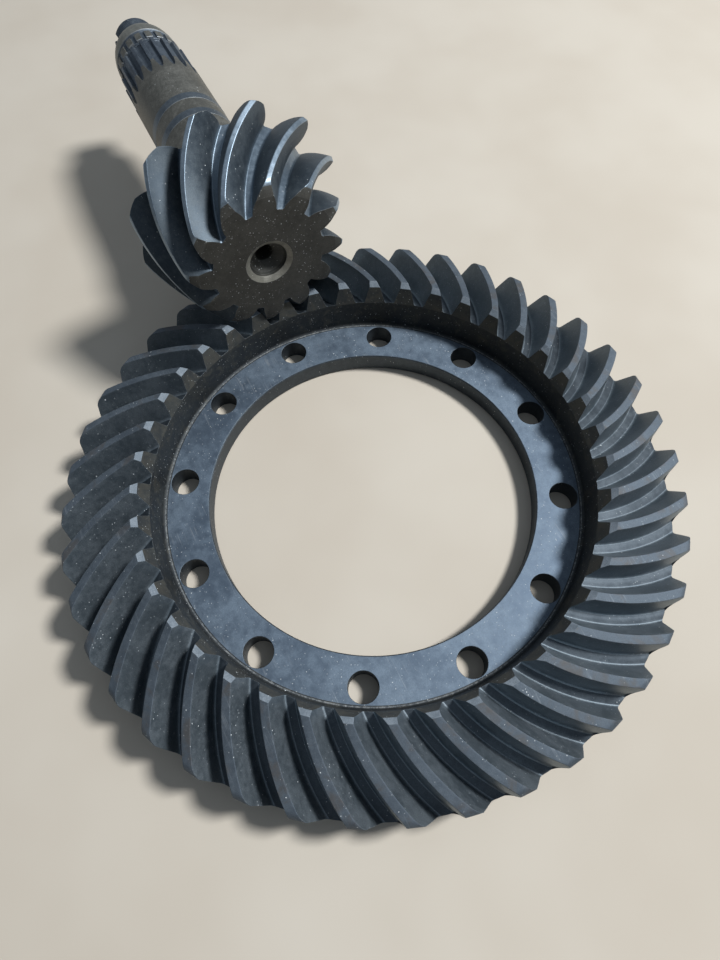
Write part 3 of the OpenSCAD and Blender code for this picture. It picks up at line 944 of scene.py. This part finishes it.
def steel(name, dark, light, rough, metallic=0.55, cloud=(22, 0.38, 0.62), grain=0.12,
          dust=0.10, wear=0.35, bump=0.12, grime=None, scuffs=0.0):
    """Coated steel: cloudy colour, fine grain, pale specks and edges rubbed lighter.

    cloud is the clouds' size in mm and the noise at which they are fully dark and light.
    grain, dust, wear, bump and scuffs are amounts, and grime holds soil()'s last arguments.
    """
    g = Graph(bpy.data.materials.new(name))
    place = g.place()
    size, darkest, lightest = cloud
    clouds = g.noise(place, size, detail=5, rough=0.6, distort=0.4)
    blotch = g.noise(place, size / BLOTCHES_PER_CLOUD, detail=5, rough=0.62)
    fine = g.noise(place, GRAIN_SIZE, detail=3, rough=0.7)
    tone = g.weigh(clouds, CLOUD_WEIGHT, blotch, BLOTCH_WEIGHT)

    colour = g.mix(g.ramp(tone, darkest, lightest), dark, light)
    colour = g.mix(g.ramp(fine, *GRAIN_NOISE, stop=grain * 3), colour,
                   tuple(c * GRAIN_DARK for c in dark))
    if scuffs:
        colour = scuff(g, place, colour, scuffs)
    if grime:
        colour = soil(g, place, colour, *grime)
    rounded = g.node("Bevel", {"Radius": EDGE_WEAR_R * MM}, samples=4).outputs[0]
    colour = g.mix(g.times(edge_rub(g, place, rounded), wear), colour, WORN_TINT)
    specks = dust_specks(g, place, dust)
    colour = g.mix(g.times(specks, DUST_COVER), colour, DUST_TINT)

    clouded = g.ramp(tone, *ROUGH_TONES, rough + SMOOTHER, rough + ROUGHER)
    roughness = g.math("ADD", clouded, g.times(specks, DUST_ROUGHNESS))
    height = g.weigh(fine, GRAIN_DEPTH, blotch, BLOTCH_DEPTH)
    normal = g.node("Bump", {"Strength": bump, "Distance": BUMP_HEIGHT * MM,
                             "Height": height, "Normal": rounded}).outputs[0]
    metal = g.math("SUBTRACT", metallic, g.times(specks, metallic))
    shader = g.node("BsdfPrincipled", {"Base Color": colour, "Roughness": roughness,
                                       "Metallic": metal, "Normal": normal})
    g.node("OutputMaterial", {"Surface": shader.outputs[0]})
    return g.owner


# ------------------------------------ finishes of the pieces
OLIVE_DIRT = (0.105, 0.098, 0.078)
BROWN_DIRT = (0.115, 0.102, 0.09)
SMALL_CLOUDS = (14, 0.40, 0.62)


def finish_of(made, same, zones):
    """(materials, the slot each zone takes), where some zones share another's."""
    order = list(made)
    return list(made.values()), [order.index(same.get(z, z)) for z in zones]


def wheel_materials():
    """Black phosphate: slate flanks, darker crests, a bluer flange, painted shade as near-black
    walls and toe ends and as darker gap floors, and a painted reflection as paler toe facets.
    """
    made = {
        "flank": steel("phosphate_flank", (0.146, 0.180, 0.207), (0.216, 0.252, 0.281),
                       rough=0.54, metallic=0.84, dust=0.2, bump=0.10, wear=0.12),
        # Painted shade: the gap floors are coloured darker than the flanks to stand in for the
        # shade down in the tooth gaps.
        "root": steel("phosphate_root", (0.070, 0.085, 0.100), (0.104, 0.124, 0.143),
                      rough=0.50, metallic=0.9, wear=0.1),
        "crest": steel("phosphate_crest", (0.098, 0.122, 0.148), (0.142, 0.171, 0.202),
                       rough=0.70, metallic=0.75, dust=0.14, wear=0.12, scuffs=0.5,
                       grime=(20, BROWN_DIRT, 0.5, 0.66, 0.6)),
        # Painted reflection: the toe facets' pale bluish base stands in for the sky that they
        # reflect.
        "facet": steel("ground_facet", (0.17, 0.205, 0.24), (0.26, 0.30, 0.34),
                       rough=0.82, metallic=0.35, cloud=(5, 0.4, 0.6), dust=0.1),
        # Painted shade: the toe ends are coloured near black for the shade under the teeth; the
        # olive grime on them is dirt.
        "toe": steel("phosphate_toe", (0.040, 0.046, 0.050), (0.070, 0.076, 0.074),
                     rough=0.6, dust=0.3, grime=(12, OLIVE_DIRT, 0.42, 0.62, 0.45)),
        "flange": steel("phosphate_flange", (0.104, 0.138, 0.182), (0.198, 0.252, 0.312),
                        rough=0.60, metallic=0.85, cloud=(34, 0.38, 0.66), grain=0.08,
                        dust=0.3, bump=0.06, scuffs=0.55),
        "dustline": steel("dusty_corner", (0.055, 0.064, 0.072), (0.26, 0.27, 0.27),
                          rough=0.65, metallic=0.4, cloud=(1.6, 0.44, 0.60), dust=1.0),
        "body": steel("phosphate_body", (0.05, 0.062, 0.075), (0.08, 0.096, 0.11),
                      rough=0.5, metallic=0.75),
        # Painted shade: the recess wall is coloured near black for the shade under the teeth;
        # the olive grime on it is dirt.
        "wall": steel("phosphate_wall", (0.030, 0.035, 0.040), (0.055, 0.060, 0.060),
                      rough=0.6, metallic=0.7, dust=0.3,
                      grime=(7, OLIVE_DIRT, 0.50, 0.66, 0.40)),
    }
    same = {"bevel": "crest", "fillet": "flank", "heel": "flank"}
    return finish_of(made, same, WHEEL_ZONES)


def pinion_materials():
    """A phosphated head with crests and roots coloured pale blue as a painted highlight of
    their sheen, on an oiled olive-grey shaft.
    """
    made = {
        "flank": steel("phosphate_pinion_flank", (0.060, 0.079, 0.098), (0.108, 0.132, 0.152),
                       rough=0.56, metallic=0.72, dust=0.14, wear=0.2),
        # Painted highlight: the crests' pale blue base stands in for the sky's glossy
        # reflection on them.
        "crest": steel("phosphate_pinion_crest", (0.20, 0.255, 0.31), (0.30, 0.37, 0.44),
                       rough=0.42, metallic=0.8, dust=0.04),
        # Painted highlight: the roots' pale blue base stands in for the sky's glossy reflection
        # in the fillets.
        "fillet": steel("phosphate_pinion_root", (0.13, 0.17, 0.21), (0.20, 0.25, 0.30),
                        rough=0.40, metallic=0.8, dust=0.04),
        "chip": steel("ground_heel_chamfer", (0.16, 0.16, 0.145), (0.34, 0.34, 0.31),
                      rough=0.55, cloud=(6, 0.4, 0.6)),
        "nose": steel("oiled_nose", (0.046, 0.046, 0.042), (0.078, 0.077, 0.070),
                      rough=0.62, dust=0.22, bump=0.25),
        "nosecone": steel("oiled_nose_cone", (0.062, 0.062, 0.057), (0.105, 0.104, 0.095),
                          rough=0.62, dust=0.5, bump=0.3, wear=0.6),
        "ringcone": steel("drilled_centre", (0.20, 0.195, 0.165), (0.30, 0.29, 0.255),
                          rough=0.55),
        "drill": steel("drilled_bore", (0.035, 0.035, 0.031), (0.065, 0.063, 0.054),
                       rough=0.6),
        "olive": steel("oiled_shaft", (0.110, 0.108, 0.094), (0.185, 0.182, 0.162),
                       rough=0.5, cloud=SMALL_CLOUDS, grain=0.16, dust=0.08, bump=0.18),
        "band": steel("ground_land", (0.105, 0.128, 0.150), (0.150, 0.178, 0.205),
                      rough=0.46, metallic=0.75, dust=0.03),
        "edge": steel("rubbed_edge", (0.19, 0.205, 0.215), (0.27, 0.285, 0.295),
                      rough=0.5, dust=0.02),
        "spline": steel("phosphate_spline", (0.085, 0.105, 0.132), (0.150, 0.180, 0.212),
                        rough=0.45, metallic=0.75, dust=0.06),
        "collar": steel("oiled_collar", (0.17, 0.17, 0.15), (0.26, 0.26, 0.23),
                        rough=0.45, cloud=SMALL_CLOUDS),
        "stub": steel("phosphate_stub", (0.055, 0.070, 0.090), (0.10, 0.12, 0.14),
                      rough=0.45, metallic=0.75),
    }
    same = {"bevel": "crest", "root": "fillet", "back": "olive", "notch": "spline"}
    return finish_of(made, same, PINION_ZONES)


# ------------------------------------ stage, light, camera
VIEW_AZIMUTH = -24.84       # direction the camera looks in, seen from above
VIEW_DOWN = 64.64
VIEW_ROLL = -2.607
VIEW_DISTANCE = 361.0
VIEW_AIM = (8.4, 3.8, FLANGE_T)
VIEW_LENS = 22.5
VIEW_NEAR = 0.01            # metres
FLOOR_HALF = 3.0            # metres
FLOOR_GAP = 0.0001          # metres below the wheel
BENCH_DARK = (0.525, 0.465, 0.385)
BENCH_LIGHT = (0.575, 0.52, 0.44)
BENCH_CLOUD = 160           # mm
BENCH_NOISE = (0.3, 0.7)    # noise at which it is fully dark and light
BENCH_ROUGHNESS = 0.85
SKY_TURN = 50               # where the overcast is brightest, seen from the camera
SKY_UP = 55
SKY_DIM = (0.013, 0.016, 0.020)
SKY_BRIGHT = (0.26, 0.30, 0.35)
SKY_COS = (-0.30, 0.80)     # cosines off that spot where the sky is fully dim and bright
HORIZON_TURN = 15           # where the horizon is brightest
HORIZON_GLOW = (0.18, 0.21, 0.245)
HORIZON_TOP = 0.42          # sine of the height at which the glow has faded out
HORIZON_COS = (-0.3, 0.7)   # cosines off its brightest side where it is least and most
HORIZON_SHARE = (0.05, 0.9)
LIGHT_DISTANCE = 3.0        # metres
WINDOW = dict(turn=80, up=53, size=0.55, watts=112, colour=(0.965, 0.985, 1.0))
DOORWAY = dict(turn=-75, up=8, size=0.6, watts=5, colour=(0.80, 0.90, 1.0))


def direction(azimuth, up):
    return Vector((cos(azimuth) * cos(up), sin(azimuth) * cos(up), sin(up)))


def view_direction(turn, up):
    """A direction turned clockwise from where the camera looks, and up from the horizon."""
    return direction(VIEW_AZIMUTH - turn, up)


def add_to_scene(name, data):
    o = bpy.data.objects.new(name, data)
    bpy.context.scene.collection.objects.link(o)
    return o


def camera():
    across = direction(VIEW_AZIMUTH - 90, 0)
    ahead = direction(VIEW_AZIMUTH, -VIEW_DOWN)
    level_up = across.cross(ahead)
    right = across * cos(VIEW_ROLL) + level_up * sin(VIEW_ROLL)
    up = level_up * cos(VIEW_ROLL) - across * sin(VIEW_ROLL)
    data = bpy.data.cameras.new("camera")
    data.lens = VIEW_LENS
    data.clip_start = VIEW_NEAR
    o = add_to_scene("camera", data)
    o.matrix_world = Matrix((right, up, -ahead)).transposed().to_4x4()
    o.matrix_world.translation = (Vector(VIEW_AIM) - ahead * VIEW_DISTANCE) * MM
    bpy.context.scene.camera = o


def floor():
    """A pale bench under the pair, with soft clouds of a lighter tone."""
    mesh = bpy.data.meshes.new("floor")
    z = cad_box[0].z - FLOOR_GAP
    corners = [(-1, -1), (1, -1), (1, 1), (-1, 1)]
    mesh.from_pydata([(x * FLOOR_HALF, y * FLOOR_HALF, z) for x, y in corners],
                     [], [(0, 1, 2, 3)])
    g = Graph(bpy.data.materials.new("pale_bench"))
    soft = g.noise(g.place(), BENCH_CLOUD, detail=3)
    colour = g.mix(g.ramp(soft, *BENCH_NOISE), BENCH_DARK, BENCH_LIGHT)
    shader = g.node("BsdfPrincipled", {"Base Color": colour, "Roughness": BENCH_ROUGHNESS})
    g.node("OutputMaterial", {"Surface": shader.outputs[0]})
    mesh.materials.append(g.owner)
    add_to_scene("floor", mesh)


def soft_light(name, turn, up, size, watts, colour):
    data = bpy.data.lights.new(name, "AREA")
    data.shape = "DISK"
    data.size = size
    data.energy = watts
    data.color = colour
    away = view_direction(turn, up)
    o = add_to_scene(name, data)
    o.location = away * LIGHT_DISTANCE
    o.rotation_euler = away.to_track_quat("Z", "Y").to_euler()


def sky():
    """An overcast, dim on the near left and bright on the far right, with a glow along
    the far horizon."""
    world = bpy.data.worlds.new("sky")
    bpy.context.scene.world = world
    g = Graph(world)
    ray = g.node("TexCoord").outputs["Generated"]
    towards = g.dot(ray, view_direction(SKY_TURN, SKY_UP))
    side = g.dot(ray, view_direction(HORIZON_TURN, 0))
    height = g.math("ABSOLUTE", g.node("SeparateXYZ", {0: ray}).outputs["Z"], 0.0)
    low = g.times(g.ramp(height, HORIZON_TOP, 0.0),
                  g.ramp(side, *HORIZON_COS, *HORIZON_SHARE))
    colour = g.mix(g.ramp(towards, *SKY_COS), SKY_DIM, SKY_BRIGHT)
    back = g.node("Background", {"Color": g.mix(low, colour, HORIZON_GLOW)})
    g.node("OutputWorld", {"Surface": back.outputs[0]})


wheel = crown_wheel(wheel_materials())
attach(wheel, "wheel")
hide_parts("crown_wheel", "axis_carrier")

pinion = pinion_shaft(pinion_materials())
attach(pinion, "pinion")
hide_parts("pinion_shaft")

floor()
sky()
soft_light("window", **WINDOW)
soft_light("doorway", **DOORWAY)
camera()
bpy.context.scene.view_settings.view_transform = "Standard"

bpy.context.view_layer.update()
